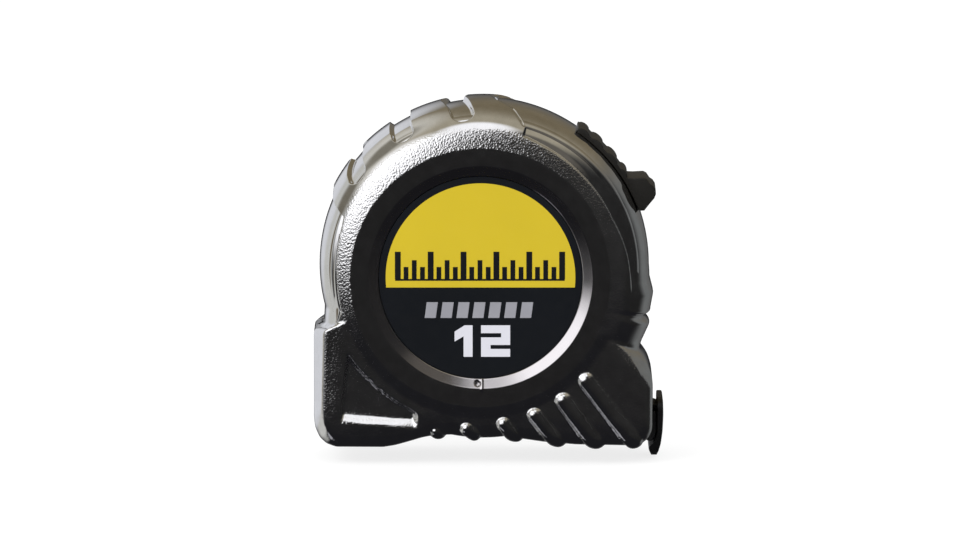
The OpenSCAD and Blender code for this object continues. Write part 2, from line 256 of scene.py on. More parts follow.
M_CHROME = chrome_mat()
M_YELLOW = simple("print_yellow_gloss", (0.56, 0.42, 0.012), rough=(0.30, 0.38), scale=700, bump=0.05, var=0.04, spec=0.35)
M_DARK = simple("print_black_satin", (0.0060, 0.0075, 0.0105), rough=(0.32, 0.42), scale=700, bump=0.05, var=0.10, spec=0.35)
M_INK = simple("print_ink_black", (0.007, 0.008, 0.010), rough=(0.32, 0.42), scale=700, bump=0.05, var=0.10, spec=0.3)
M_WHITE = simple("print_white", (0.62, 0.62, 0.68), rough=(0.32, 0.42), scale=700, bump=0.05, var=0.04, spec=0.3)
M_SILVER = simple("print_silver", (0.36, 0.36, 0.40), metal=0.25, rough=(0.35, 0.5), scale=1400, bump=0.08, var=0.10)
M_BLACK = simple("button_black_plastic", (0.014, 0.013, 0.011), rough=(0.34, 0.48), scale=2200, bump=0.25, var=0.15, spec=0.5)
# painted dark reflection: the hook's near-black colour stands in for bright plating that mirrors the dark room round it
M_HOOK = simple("hook_painted_dark_reflection", (0.010, 0.010, 0.011), metal=0.4, rough=(0.38, 0.5), scale=1800, bump=0.2, var=0.2)
M_RUBBER = simple("bumper_rubber", (0.012, 0.012, 0.013), rough=(0.55, 0.7), scale=2400, bump=0.35, var=0.15, spec=0.3)
M_STEEL = simple("turned_steel", (0.56, 0.57, 0.58), metal=1.0, rough=(0.22, 0.34), scale=900, bump=0.12, var=0.06)
M_BRIGHT = simple("clip_bright_steel", (0.62, 0.63, 0.64), metal=1.0, rough=(0.24, 0.30), scale=300, bump=0.03, var=0.04, vec_scale=(6, 1, 0.4))
M_SPRING = simple("blued_spring_steel", (0.12, 0.16, 0.26), metal=1.0, rough=(0.25, 0.36), scale=700, bump=0.1, var=0.2)
M_REEL = simple("reel_nylon", (0.022, 0.023, 0.026), rough=(0.45, 0.6), scale=1600, bump=0.2, var=0.12)
M_WASHER = simple("washer_acetal", (0.62, 0.63, 0.62), rough=(0.35, 0.45), scale=1400, bump=0.08, var=0.04)
M_GUIDE = simple("guide_plastic", (0.20, 0.20, 0.19), rough=(0.4, 0.55), scale=1500, bump=0.15, var=0.08)
M_PAD = simple("brake_pad_rubber", (0.05, 0.042, 0.036), rough=(0.6, 0.75), scale=2200, bump=0.3, var=0.15)
M_BLADE = blade_mat()


# ------------------------------------------------------------------ mesh tools
def make_obj(name, verts, faces, mat, body, angle=38.0):
    me = bpy.data.meshes.new(name)
    me.from_pydata([tuple(v) for v in W(verts)], [], faces)
    me.validate()
    me.update()
    ob = bpy.data.objects.new(name, me)
    bpy.context.scene.collection.objects.link(ob)
    me.materials.append(mat)
    me.shade_smooth()
    me.set_sharp_from_angle(angle=math.radians(angle))
    if body:
        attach(ob, body)
    return ob


def bevel_apply(ob, width, segs=3, angle=30.0, sharp=45.0):
    """Rolled edges: bevels every edge sharper than the angle, and keeps the mesh closed."""
    bm = bmesh.new()
    bm.from_mesh(ob.data)
    bmesh.ops.recalc_face_normals(bm, faces=bm.faces)
    ed = [e for e in bm.edges if len(e.link_faces) == 2 and e.calc_face_angle(0) > math.radians(angle)]
    bmesh.ops.bevel(bm, geom=ed, offset=width * MM, offset_type="OFFSET", segments=segs, profile=0.5,
                    affect="EDGES", clamp_overlap=True)
    bmesh.ops.recalc_face_normals(bm, faces=bm.faces)
    bm.to_mesh(ob.data)
    bm.free()
    ob.data.shade_smooth()
    ob.data.set_sharp_from_angle(angle=math.radians(sharp))


def extrude_y(pts, y0, y1):
    """Closed prism of an outline in (x, z), counter-clockwise seen from -y."""
    n = len(pts)
    v = [(p[0], y0, p[1]) for p in pts] + [(p[0], y1, p[1]) for p in pts]
    f = [tuple(range(n)), tuple(range(2 * n - 1, n - 1, -1))]
    f += [(i, i + n, (i + 1) % n + n, (i + 1) % n) for i in range(n)]
    return v, f


def prism(name, pts, y0, y1, mat, body, bev=0.0, segs=2, angle=38.0):
    v, f = extrude_y(pts, y0, y1)
    ob = make_obj(name, v, f, mat, body, angle)
    bm = bmesh.new()
    bm.from_mesh(ob.data)
    bmesh.ops.recalc_face_normals(bm, faces=bm.faces)
    bm.to_mesh(ob.data)
    bm.free()
    if bev:
        bevel_apply(ob, bev, segs)
    return ob


def chaikin(pts, times=2, closed=True):
    p = np.array(pts, dtype=float)
    for _ in range(times):
        q = np.roll(p, -1, axis=0)
        p = np.stack([p * 0.75 + q * 0.25, p * 0.25 + q * 0.75], axis=1).reshape(-1, 2)
    return p


def seg_dist(x, z, a, b):
    """Distance from each (x, z) to the segment a-b."""
    ax, az = a
    bx, bz = b
    dx, dz = bx - ax, bz - az
    t = np.clip(((x - ax) * dx + (z - az) * dz) / (dx * dx + dz * dz), 0, 1)
    return np.hypot(x - ax - t * dx, z - az - t * dz), t


def poly_sdf(x, z, pts):
    """Signed distance to a closed outline, negative inside."""
    d = np.full(x.shape, 1e9)
    inside = np.zeros(x.shape, dtype=bool)
    n = len(pts)
    for i in range(n):
        a, b = pts[i], pts[(i + 1) % n]
        d = np.minimum(d, seg_dist(x, z, a, b)[0])
        c = ((a[1] > z) != (b[1] > z)) & (x < (b[0] - a[0]) * (z - a[1]) / ((b[1] - a[1]) or 1e-9) + a[0])
        inside ^= c
    return np.where(inside, -d, d)


# ---------------------------------------------------------------- case shells
DX, DZ = 0.5, 1.1            # centre of the round part
RIM = 32.0                   # raised areas of the rim, at the joint plane
HW = 14.0                    # face of the case
BHW = 13.3                   # face of the lower block
R_FLAT = 24.4                # outer edge of the plain ring round the label

OUTLINE = [(-30.7, -10.3), (-31.35, -10.6), (-31.6, -11.4), (-31.6, -27.3), (-31.35, -29.2), (-30.5, -31.0), (-29.2, -32.1), (-27.4, -32.65),
           (-18.4, -32.7), (-16.2, -32.35), (-14.0, -31.75), (-11, -30.85), (-8.5, -30.4), (1, -30.2), (5, -30.7), (12, -31.7), (18, -32.2),
           (28.6, -32.4), (30.6, -32.0), (31.8, -31.0), (32.5, -29.6), (32.6, -28.6), (32.6, -20.6), (32.4, -18.8), (31.85, -16.9), (31.1, -15.7), (30.2, -14.8),
           (30.5, -13.6), (32.2, -9.9), (31.05, -8.45), (31.1, -8.15), (32.25, -7.7), (32.9, -4.2), (31.9, 2.0), (30, 4), (-30, 4)]

RECESS = [(-25.1, -14.6), (-26.5, -26.3), (-15.5, -27.5), (-12.5, -26.1), (-13.8, -24.7), (-17.8, -22.3), (-21.2, -19.2)]
BARS = [((20.0, -19.7), (29.0, -31.6), 1.62), ((15.7, -23.5), (21.8, -32.1), 1.6), ((10.3, -26.3), (14.6, -31.9), 1.45), ((4.4, -28.0), (6.6, -31.2), 1.35),
        ((-2.6, -29.0), (-1.2, -30.2), 1.25), ((-8.4, -29.9), (-7.6, -30.8), 1.1)]
GROOVES = [(99.2, 96.3), (117.6, 118.6), (135.4, 140.4)]        # polar angle at the rim and at the inner end


def radius_table():
    """Outline of the joint plane as polar radius against angle, from -180 to 180 degrees."""
    pts = np.array(OUTLINE)
    loop = np.concatenate([pts, pts[:1]])
    run = np.concatenate([[0], np.cumsum(np.hypot(*np.diff(loop, axis=0).T))])
    at = np.arange(0, run[-1], 0.12)
    dense = np.stack([np.interp(at, run, loop[:, 0]), np.interp(at, run, loop[:, 1])], axis=1)
    # light rounding of the corners
    for _ in range(14):
        dense = 0.5 * dense + 0.25 * (np.roll(dense, 1, axis=0) + np.roll(dense, -1, axis=0))
    ang = np.degrees(np.arctan2(dense[:, 1], dense[:, 0]))
    rad = np.hypot(dense[:, 0], dense[:, 1])
    o = np.argsort(ang)
    return ang[o], rad[o]


_TA, _TR = radius_table()


def r_block(th):
    return np.interp(th, _TA, _TR, period=360)


def r_drum(th, rc=RIM):
    t = np.radians(th)
    d = DX * np.cos(t) + DZ * np.sin(t)
    return d + np.sqrt(rc * rc - DX * DX - DZ * DZ + d * d)


def hermite(p0, a0, p1, a1, u):
    p0, p1 = np.array(p0, float), np.array(p1, float)
    c = np.hypot(*(p1 - p0))
    t0 = c * np.array([math.cos(math.radians(a0)), math.sin(math.radians(a0))])
    t1 = c * np.array([math.cos(math.radians(a1)), math.sin(math.radians(a1))])
    u = u[:, None]
    return (2 * u**3 - 3 * u**2 + 1) * p0 + (u**3 - 2 * u**2 + u) * t0 + (-2 * u**3 + 3 * u**2) * p1 + (u**3 - u**2) * t1


def resample(c, n):
    d = np.concatenate([[0], np.cumsum(np.hypot(*np.diff(c, axis=0).T))])
    s = np.linspace(0, d[-1], n)
    return np.stack([np.interp(s, d, c[:, 0]), np.interp(s, d, c[:, 1])], axis=1)


def drum_profile():
    """Shoulder of the round part: (distance in from the outline, distance from the joint plane)."""
    u = np.linspace(0, 1, 60)
    a = hermite((-7.5, 14.0), -15, (-4.3, 12.85), -28, u)
    b = hermite((-4.3, 12.85), -28, (-2.2, 10.9), -54, u)
    c = hermite((-2.2, 10.9), -54, (-0.72, 8.0), -72, u)
    face = resample(np.concatenate([a, b[1:]]), 46)
    roll = resample(c, 20)
    return face, roll


_FACE, _ROLL = drum_profile()
NS3 = 20


def shell(name, s):
    """One half of the case, a closed shell made on a polar grid round the spindle axis. s = -1 near, 1 far."""
    # columns
    th = np.linspace(-180, 180, 900, endpoint=False)
    th = list(th) + list(th[(th > 72) & (th < 158)] + 0.2)
    slot_a = [math.degrees(math.atan2(DZ + RIM * math.sin(math.radians(a)), DX + RIM * math.cos(math.radians(a)))) for a in (20.3, 46.0)]
    mouth_a = [math.degrees(math.atan2(-27.4, 32.4)), math.degrees(math.atan2(-22.2, 32.4))]
    for a in slot_a + mouth_a:
        th += [a - 0.02, a + 0.02]
    th = np.unique(np.round(np.array(th), 5))
    th = th[np.concatenate([[True], np.diff(th) > 0.012])]
    n = len(th)
    rd = r_drum(th)
    rb = r_block(th)
    R = np.maximum(rd, rb)
    wb = smooth(-23.0, -32.5, th) * smooth(-162.4, -161.0, th)
    wbf = smooth(-22.5, -27.0, th) * smooth(-179.0, -160.0, th)
    # the front corner of the cheek is cut back along a straight fold
    wr = np.interp(th, [-160, -142, -130, -60, -33.0, -31.2, -24.2, -20.0], [2.1, 2.1, 2.7, 2.7, 2.7, 2.9, 5.6, 5.6])
    drop = np.interp(th, [-160, -142, -130, -60, -33.0, -30.0, -24.2, -20.0], [7.0, 7.0, 2.7, 2.7, 2.7, 3.4, 4.2, 4.2])
    kink = np.interp(th, [-160, -142, -130, -60, -33.5, -31.0, -24.2, -20.0], [0.85, 0.85, 0.0, 0.0, 0.0, 0.8, 0.9, 0.9])
    ease = 0.26 * smooth(-130, -142, th)
    in_slot = (th > slot_a[0]) & (th < slot_a[1])
    in_mouth = (th > mouth_a[0]) & (th < mouth_a[1])
    t_end = np.where(in_slot, 4.0, np.where(in_mouth, 7.3, 0.0))
    T, RR = [], []          # rows of depth and radius, one value per column

    def row(r, t):
        RR.append(np.broadcast_to(r, n).astype(float).copy())
        T.append(np.broadcast_to(t, n).astype(float).copy())

    # floor of the label's seat, wall and polished bevel
    row(6.0, 12.55)
    row(13.0, 12.55)
    row(19.2, 12.55)
    row(19.25, 12.60)
    row(19.27, 13.02)
    row(19.33, 13.10)
    for k in range(1, 11):
        row(19.33 + (21.0 - 19.33) * k / 10, 13.10 + 0.82 * k / 10)
    row(21.06, 13.955)
    row(21.16, 13.99)
    row(21.35, 14.0)
    for r in (22.2, 23.2, 24.0):
        row(r, 14.0)
    k_face0 = len(RR)
    # shoulder or block face
    wid = (R - R_FLAT)
    for k in range(len(_FACE)):
        u = k / (len(_FACE) - 1)
        e, t = -_FACE[k][0] / 7.5, _FACE[k][1]
        r_d, t_d = R - e * wid, t
        r_b = R_FLAT + u * (R - wr - R_FLAT)
        t_b = 14.0 - (14.0 - BHW) * smooth(0.0, 1.0, (r_b - R_FLAT) / 2.6) - 0.30 * smooth(6.5, 1.5, R - r_b)
        t_b = t_b - ease * np.exp(-np.maximum(R - wr - r_b, 0) / 0.34)
        w = wbf * (1 - u) + wb * u
        row(r_d * (1 - w) + r_b * w, t_d * (1 - w) + t_b * w)
    for k in range(1, len(_ROLL)):
        u = k / (len(_ROLL) - 1)
        e, t = -_ROLL[k][0] / 7.5, _ROLL[k][1]
        r_d, t_d = R - e * wid, t
        a = math.radians(90 * u)
        top = BHW - 0.30
        r_b = R - wr + wr * math.sin(a)
        t_b = top - drop + drop * (math.cos(a) * (1 - kink) + (1 - math.sin(a)) * kink)
        t_b = t_b - ease * np.exp(-(r_b - R + wr) / 0.12)
        row(r_d * (1 - wb) + r_b * wb, t_d * (1 - wb) + t_b * wb)
    r9, t9 = RR[-1].copy(), T[-1].copy()
    for k in range(1, NS3 + 1):
        v = k / NS3
        t = t9 * (1 - v) + t_end * v
        r_c = R - (R - r9) * (t / t9) ** 2.4
        row(r_c, t)
    k_out1 = len(RR)
    RR_, TT_ = np.array(RR), np.array(T)          # rows x columns
    th_r = np.radians(th)
    X = RR_ * np.cos(th_r)
    Z = RR_ * np.sin(th_r)
    Y = TT_.copy()
    # normals of the plain form, outwards
    P = np.stack([X, Y, Z], axis=-1)
    du = np.gradient(P, axis=0)
    dv = np.roll(P, -1, axis=1) - np.roll(P, 1, axis=1)
    nn = np.cross(dv, du)
    nn /= np.maximum(np.linalg.norm(nn, axis=-1, keepdims=True), 1e-9)
    flip = np.sign(nn[..., 1].sum())
    nn *= flip
    # beside the slot and the mouth the form is moved only in its own radial plane
    tang = np.stack([-np.sin(th_r), np.zeros(n), np.cos(th_r)], axis=-1)[None]
    beside = np.zeros(n, dtype=bool)
    for a in slot_a + mouth_a:
        beside |= np.abs(th - a) < 0.5
    flat_n = nn - (nn * tang).sum(axis=-1, keepdims=True) * tang
    flat_n /= np.maximum(np.linalg.norm(flat_n, axis=-1, keepdims=True), 1e-9)
    nn = np.where(beside[None, :, None], flat_n, nn)
    # arc length from the joint plane along each column
    step = np.linalg.norm(np.diff(P, axis=0), axis=-1)
    sig = np.zeros(RR_.shape)
    sig[:-1] = np.cumsum(step[::-1], axis=0)[::-1]
    sig += t_end[None, :]
    TH = np.broadcast_to(th, RR_.shape)
    H = np.zeros(RR_.shape)
    drum = (1 - wb)[None, :]
    outer_rows = np.zeros(RR_.shape)
    outer_rows[k_face0:] = 1.0
    # --- recessed smooth bands
    r_edge = np.interp(TH, [-14, -8, 9, 24, 45, 65, 74], [28.9, 28.5, 27.9, 27.1, 27.1, 27.5, 27.9])
    start = np.interp(sig, [0, 3.5, 12.5], [85.0, 84.2, 73.6])
    a_mm = (start - TH) * RR_ * math.pi / 180
    taper = np.interp(TH, [-14, -13, -12.5, -7.3, 2], [0.0, 0.0, 0.15, 0.15, 1.0])
    m1 = smooth(0, 0.38, a_mm) * smooth(0, 0.45, RR_ - r_edge) * (TH > -14) * taper * (TH < 90)
    H -= 0.55 * m1
    line = np.exp(-((a_mm + 0.25) / 0.34) ** 2) * (TH > 60) * (TH < 95) * smooth(12.9, 12.2, sig)
    H -= 0.40 * line
    TH2 = np.where(TH < 0, TH + 360, TH)
    r_edge2 = np.interp(TH2, [149, 152.7, 160, 178, 194.0, 197.3, 198.8], [29.2, 28.6, 27.9, 27.15, 27.1, 28.3, 29.6])
    start2 = 148.6 + 7.0 * np.clip(sig, 0, 12.8) / 12.5
    b_mm = (TH2 - start2) * RR_ * math.pi / 180
    m2 = smooth(0, 0.34, b_mm) * smooth(0, 0.36, RR_ - r_edge2) * (TH2 < 199.0)
    H -= 0.95 * m2 * drum
    H -= 0.40 * np.exp(-((RR_ - r_edge2 - 0.42) / 0.26) ** 2) * smooth(0, 0.5, b_mm) * (TH2 < 197.8) * (TH2 > 120) * drum
    # --- finger grooves
    gm = np.zeros(RR_.shape)
    for a0, a1 in GROOVES:
        ac = a0 + (a1 - a0) * np.clip(sig, 0, 10.6) / 10.6
        a = (TH - ac) * RR_ * math.pi / 180
        d = np.where(sig < 10.4, np.abs(a), np.hypot(a, sig - 10.4))
        gm = np.maximum(gm, 1 - smooth(1.8, 2.3, d))
    H -= 0.9 * gm
    # --- cheek recess
    rad = np.hypot(X, Z)
    d_arc = rad - np.interp(np.degrees(np.arctan2(Z, X)), [-150, -135, -118, -112], [28.9, 28.5, 28.3, 28.6])
    d_low = (Z + 28.55) + 0.09 * (X + 16.0)
    d_left = (X + 26.75) - 0.12 * (Z + 27.0)
    rec = smooth(0.0, 0.55, d_arc) * (0.25 * smooth(0.0, 1.8, d_low) + 0.75 * np.clip(d_low / 1.8, 0, 1)) * smooth(0.0, 0.6, d_left) * smooth(10.0, 11.5, Y)
    rec *= (X < 0) * (Z < -10) * smooth(-11.6, -13.0, X)
    H -= 1.15 * rec
    # --- grip bars on the cheek
    bm_ = np.zeros(RR_.shape)
    for a, b, w in BARS:
        d, t = seg_dist(X, Z, a, b)
        hgt = np.clip(1 - (d / w) ** 2, 0, 1) ** 0.72
        bm_ = np.maximum(bm_, hgt)
    bm_ *= smooth(7.6, 10.0, Y) * outer_rows
    H += 0.82 * bm_
    # --- small key notch in the bevel
    kd = np.hypot(X + 0.55, Z + 20.15)
    H -= 0.45 * (1 - smooth(0.35, 0.62, kd)) * (1 - outer_rows) + 0.0
    H += 0.16 * np.exp(-((X - 0.25) / 0.16) ** 2) * (np.abs(Z + 20.2) < 1.0) * (1 - outer_rows)
    P = P + nn * H[..., None]
    P[..., 1] = np.clip(P[..., 1], 0, None)
    P[k_out1 - 1, :, 1] = t_end
    X, Y, Z = P[..., 0], P[..., 1], P[..., 2]
    # stipple mask
    r_sm = np.interp(TH2, [0, 60, 84, 100, 150, 160, 198, 200, 325, 334, 360], [27.4, 27.4, 28.2, 28.2, 28.2, 27.7, 27.2, 60, 60, 27.8, 27.4])
    st = smooth(24.35, 24.65, RR_) * (1 - smooth(-0.5, 0.7, RR_ - r_sm))
    st *= (1 - 0.55 * bm_) * (1 - 0.65 * (rec > 0.03) * (rec < 0.97))
    st *= 1 - wbf[None, :] * (0.42 + 0.12 * smooth(-150, -90, TH))
    st *= 1 - 0.6 * smooth(5.0, 1.6, R[None, :] - RR_) * wb[None, :] * (TH < -100)
    side = smooth(BHW - 0.5, BHW - 2.4, TT_) * wb[None, :]
    st *= (1 - 0.75 * side)
    # interior rows: ledge at the joint plane, wall, inside face
    rin_d = r_drum(th, 29.4)
    rin_b = R - 2.3
    rin = rin_d * (1 - wb) + np.minimum(rin_b, 60) * wb
    rin = np.minimum(rin, R - 1.6)
    ledge = P[-1]
    rl = np.hypot(ledge[:, 0], ledge[:, 2])
    extra = [((rl + rin) / 2, t_end), (rin, t_end), (rin, np.maximum(t_end, 5.0)), (rin, np.full(n, 10.4)), (rin - 1.0, np.full(n, 11.4)),
             (np.full(n, 20.0), np.full(n, 11.4)), (np.full(n, 12.0), np.full(n, 11.4)), (np.full(n, 5.0), np.full(n, 11.4))]
    rows = [np.stack([X[k], Y[k], Z[k]], axis=-1) for k in range(len(X))]
    sts = [st[k] for k in range(len(X))]
    for r, t in extra:
        rows.append(np.stack([r * np.cos(th_r), np.broadcast_to(t, n), r * np.sin(th_r)], axis=-1))
        sts.append(np.zeros(n))
    G = np.array(rows)
    G[..., 1] *= s
    S = np.array(sts)
    SF = np.zeros(S.shape)
    SF[:len(st)] = (RR_ > 19.3) * (RR_ < 21.3) * (1 - outer_rows)
    m = len(G)
    verts = G.reshape(-1, 3)
    pole0 = np.array([[0, 12.55 * s, 0]])
    pole1 = np.array([[0, 11.4 * s, 0]])
    verts = np.concatenate([verts, pole0, pole1])
    i0, i1 = m * n, m * n + 1
    j = np.arange(n)
    jn = (j + 1) % n
    faces = []
    for k in range(m - 1):
        a, b, c, d = k * n + j, k * n + jn, (k + 1) * n + jn, (k + 1) * n + j
        faces.append(np.stack([a, b, c, d] if s < 0 else [a, d, c, b], axis=1))
    faces = np.concatenate(faces).tolist()
    for q in range(n):
        p = (q + 1) % n
        faces.append((i0, q, p) if s > 0 else (i0, p, q))
        a, b = (m - 1) * n + q, (m - 1) * n + p
        faces.append((i1, b, a) if s > 0 else (i1, a, b))
    me = bpy.data.meshes.new(name)
    me.from_pydata(W(verts).tolist(), [], faces)
    me.update()
    ob = bpy.data.objects.new(name, me)
    bpy.context.scene.collection.objects.link(ob)
    bm = bmesh.new()
    bm.from_mesh(me)
    bmesh.ops.recalc_face_normals(bm, faces=bm.faces)
    bm.to_mesh(me)
    bm.free()
    at2 = me.attributes.new("soft", "FLOAT", "POINT")
    at2.data.foreach_set("value", np.concatenate([SF.reshape(-1), [0, 0]]).astype(np.float32))
    at = me.attributes.new("stipple", "FLOAT", "POINT")
    at.data.foreach_set("value", np.concatenate([S.reshape(-1), [0, 0]]).astype(np.float32))
    me.materials.append(M_CHROME)
    me.shade_smooth()
    me.set_sharp_from_angle(angle=math.radians(50))
    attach(ob, "case")
    return ob


near = shell("case_shell_near", -1)
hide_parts("case_near")
far = shell("case_shell_far", 1)
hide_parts("case_far")


def cutter(pts):
    """Union of short closed rods along y, to bore the screw holes."""
    bm = bmesh.new()
    for x, z, r, y0, y1 in pts:
        n = 40
        ring0 = [bm.verts.new(tuple(W((x + r * math.cos(2 * math.pi * k / n), y0, z + r * math.sin(2 * math.pi * k / n))))) for k in range(n)]
        ring1 = [bm.verts.new(tuple(W((x + r * math.cos(2 * math.pi * k / n), y1, z + r * math.sin(2 * math.pi * k / n))))) for k in range(n)]
        bm.faces.new(ring0)
        bm.faces.new(ring1[::-1])
        for k in range(n):
            bm.faces.new((ring0[k], ring1[k], ring1[(k + 1) % n], ring0[(k + 1) % n]))
    bmesh.ops.recalc_face_normals(bm, faces=bm.faces)
    me = bpy.data.meshes.new("bores")
    bm.to_mesh(me)
    bm.free()
    ob = bpy.data.objects.new("bores", me)
    bpy.context.scene.collection.objects.link(ob)
    return ob


SCREWS = [(-26, -27.3), (24.5, -29.6), (0.5 - 28.4 * math.cos(math.radians(45)), 0.8 + 28.4 * math.sin(math.radians(45))),
          (0.5 + 28.4 * math.cos(math.radians(74)), 0.8 + 28.4 * math.sin(math.radians(74)))]


def bore(ob, rods):
    c = cutter(rods)
    md = ob.modifiers.new("bore", "BOOLEAN")
    md.operation = "DIFFERENCE"
    md.object = c
    md.solver = "MANIFOLD"
    dg = bpy.context.evaluated_depsgraph_get()
    me = bpy.data.meshes.new_from_object(ob.evaluated_get(dg))
    ob.modifiers.clear()
    old = ob.data
    ob.data = me
    bpy.data.meshes.remove(old)
    bpy.data.objects.remove(c)


bore(far, [(x, z, 2.3, 10.2, 16.0) for x, z in SCREWS])

# -------------------------------------------------------------------- labels
def disc_part(name, pts, y_top, thick, mat, s=-1, bev=0.0):
    y0, y1 = (y_top, y_top + thick) if s < 0 else (y_top - thick, y_top)
    return prism(name, pts, y0, y1, mat, "case", bev)


def arc(r, a0, a1, n, cx=0.0, cz=0.0):
    return [(cx + r * math.cos(math.radians(a0 + (a1 - a0) * k / n)), cz + r * math.sin(math.radians(a0 + (a1 - a0) * k / n))) for k in range(n + 1)]


LY = -13.1                     # printed surface of the near disc
CH = -1.9                      # level of the colour break
a_ch = math.degrees(math.asin(CH / 17.9))
disc_part("label_yellow_field", arc(17.9, a_ch, 180 - a_ch, 120), LY - 0.03, 0.05, M_YELLOW)


def box_pts(x0, z0, x1, z1):
    return [(x0, z0), (x1, z0), (x1, z1), (x0, z1)]


def joined(name, outlines, y_top, thick, mat):
    """Several printed marks as one piece."""
    V, F = [], []
    for pts in outlines:
        v, f = extrude_y(pts, y_top, y_top + thick)
        k = len(V)
        V += v
        F += [tuple(i + k for i in q) for q in f]
    ob = make_obj(name, V, F, mat, "case", 38)
    bm = bmesh.new()
    bm.from_mesh(ob.data)
    bmesh.ops.recalc_face_normals(bm, faces=bm.faces)
    bm.to_mesh(ob.data)
    bm.free()
    return ob


# graduation motif across the yellow field
ticks = []
for k in range(21):
    x = -15.6 + 31.0 * k / 20
    tall = 5.2 if k % 4 == 0 else (3.6 if k % 2 == 0 else 2.3)
    w = 1.1 if k % 4 == 0 else 0.9
    ticks.append(box_pts(x - w / 2, -0.3, x + w / 2, -0.3 + tall))
ticks.append(box_pts(-16.1, -0.62, 15.9, -0.28))
joined("label_graduations", ticks, LY - 0.06, 0.05, M_INK)
# silver bars
bars = []
for k in range(7):
    x = -10.8 + 21.0 * k / 7
    bars.append([(x + 0.25, -7.7), (x + 2.35, -7.7), (x + 2.75, -4.7), (x + 0.65, -4.7)])
joined("label_silver_bars", bars, LY - 0.03, 0.05, M_SILVER)
# plain block numerals
one = [(-4.9, -10.3), (-3.0, -9.1), (-1.5, -9.1), (-1.5, -15.1), (-3.2, -15.1), (-3.2, -11.2), (-4.9, -12.2)]
two = [(0.1, -9.1), (5.6, -9.1), (5.6, -12.85), (1.9, -12.85), (1.9, -13.6), (5.6, -13.6), (5.6, -15.1), (0.1, -15.1), (0.1, -11.4), (3.9, -11.4), (3.9, -10.6), (0.1, -10.6)]
joined("label_numerals", [one[::-1], two[::-1]], LY - 0.03, 0.05, M_WHITE)

# --------------------------------------------------------------- lock button
def rim_pt(r, a):
    return (0.5 + r * math.cos(math.radians(a)), 0.8 + r * math.sin(math.radians(a)))


def rim_arc(r, a0, a1, n):
    return [rim_pt(r, a0 + (a1 - a0) * k / n) for k in range(n + 1)]


def rib(a, w, r0, r1):
    """One rounded rib of the button, from angle a + w down to a - w."""
    return [rim_pt(r0 + (r1 - r0) * math.sin(math.pi * k / 8) ** 0.6, a + w - 2 * w * k / 8) for k in range(9)]


ri = 31.7
prof = rim_arc(31.62, 20.2, 55.8, 26) + [rim_pt(ri + 0.5, 56.0)]
prof += rib(53.5, 2.1, ri + 0.55, ri + 1.0) + rib(47.6, 2.6, ri + 0.5, ri + 0.95) + rib(40.5, 2.7, ri + 0.5, ri + 0.95) + rib(34.2, 1.9, ri + 0.5, ri + 0.95)
prof += [(28.9, 17.95), (30.9, 18.05), (31.5, 17.75), (32.1, 16.85), (32.75, 16.4), (33.15, 15.75), (33.2, 14.9), (32.9, 14.1), (31.9, 12.9), (31.0, 11.75)]
_prof = []
for p in prof:
    if not _prof or math.hypot(p[0] - _prof[-1][0], p[1] - _prof[-1][1]) > 0.06:
        _prof.append(p)


def inset(pts, d):
    """The outline moved inwards by d along its vertex normals."""
    p = np.array(pts)
    if 0.5 * np.sum(p[:, 0] * np.roll(p[:, 1], -1) - np.roll(p[:, 0], -1) * p[:, 1]) < 0:
        d = -d
    a = p - np.roll(p, 1, axis=0)
    b = np.roll(p, -1, axis=0) - p
    a /= np.linalg.norm(a, axis=1, keepdims=True)
    b /= np.linalg.norm(b, axis=1, keepdims=True)
    nrm_ = np.stack([-(a[:, 1] + b[:, 1]), a[:, 0] + b[:, 0]], axis=1)
    nrm_ /= np.maximum(np.linalg.norm(nrm_, axis=1, keepdims=True), 1e-6)
    return p + nrm_ * d


def rolled_prism(name, pts, y0, y1, roll, mat, body, steps=4, angle=35.0):
    """Prism along y whose two ends are rolled in by a small radius."""
    rings = []
    for k in range(steps + 1):
        a = math.pi / 2 * k / steps
        rings.append((inset(pts, roll * (1 - math.sin(a))), y0 + roll * (1 - math.cos(a))))
    for k in range(steps, -1, -1):
        a = math.pi / 2 * k / steps
        rings.append((inset(pts, roll * (1 - math.sin(a))), y1 - roll * (1 - math.cos(a))))
    n = len(pts)
    V, F = [], []
    for q, y in rings:
        V += [(c[0], y, c[1]) for c in q]
    for k in range(len(rings) - 1):
        F += [(k * n + i, (k + 1) * n + i, (k + 1) * n + (i + 1) % n, k * n + (i + 1) % n) for i in range(n)]
    F += [tuple(range(n)), tuple(range(len(rings) * n - 1, (len(rings) - 1) * n - 1, -1))]
    ob = make_obj(name, V, F, mat, body, angle)
    b_ = bmesh.new()
    b_.from_mesh(ob.data)
    bmesh.ops.triangulate(b_, faces=[f for f in b_.faces if len(f.verts) > 4], ngon_method="EAR_CLIP")
    bmesh.ops.recalc_face_normals(b_, faces=b_.faces)
    b_.to_mesh(ob.data)
    b_.free()
    ob.data.shade_smooth()
    ob.data.set_sharp_from_angle(angle=math.radians(angle))
    return ob


btn = rolled_prism("lock_button_ribbed", _prof, -5.6, 5.6, 0.24, M_BLACK, "lock")
for sgn, nm in ((-1, "near"), (1, "far")):
    ya, yb = sorted((sgn * 4.55, sgn * 5.58))
    rolled_prism("lock_button_skirt_" + nm, rim_arc(31.40, 20.6, 55.4, 26) + rim_arc(32.1, 55.4, 20.6, 26), ya, yb, 0.12, M_BLACK, "lock")
neck = prism("lock_button_neck", rim_arc(29.15, 31.2, 45.6, 10) + rim_arc(ri + 0.1, 45.6, 31.2, 10), -3.6, 3.6, M_BLACK, "lock")
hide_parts("lock_button")

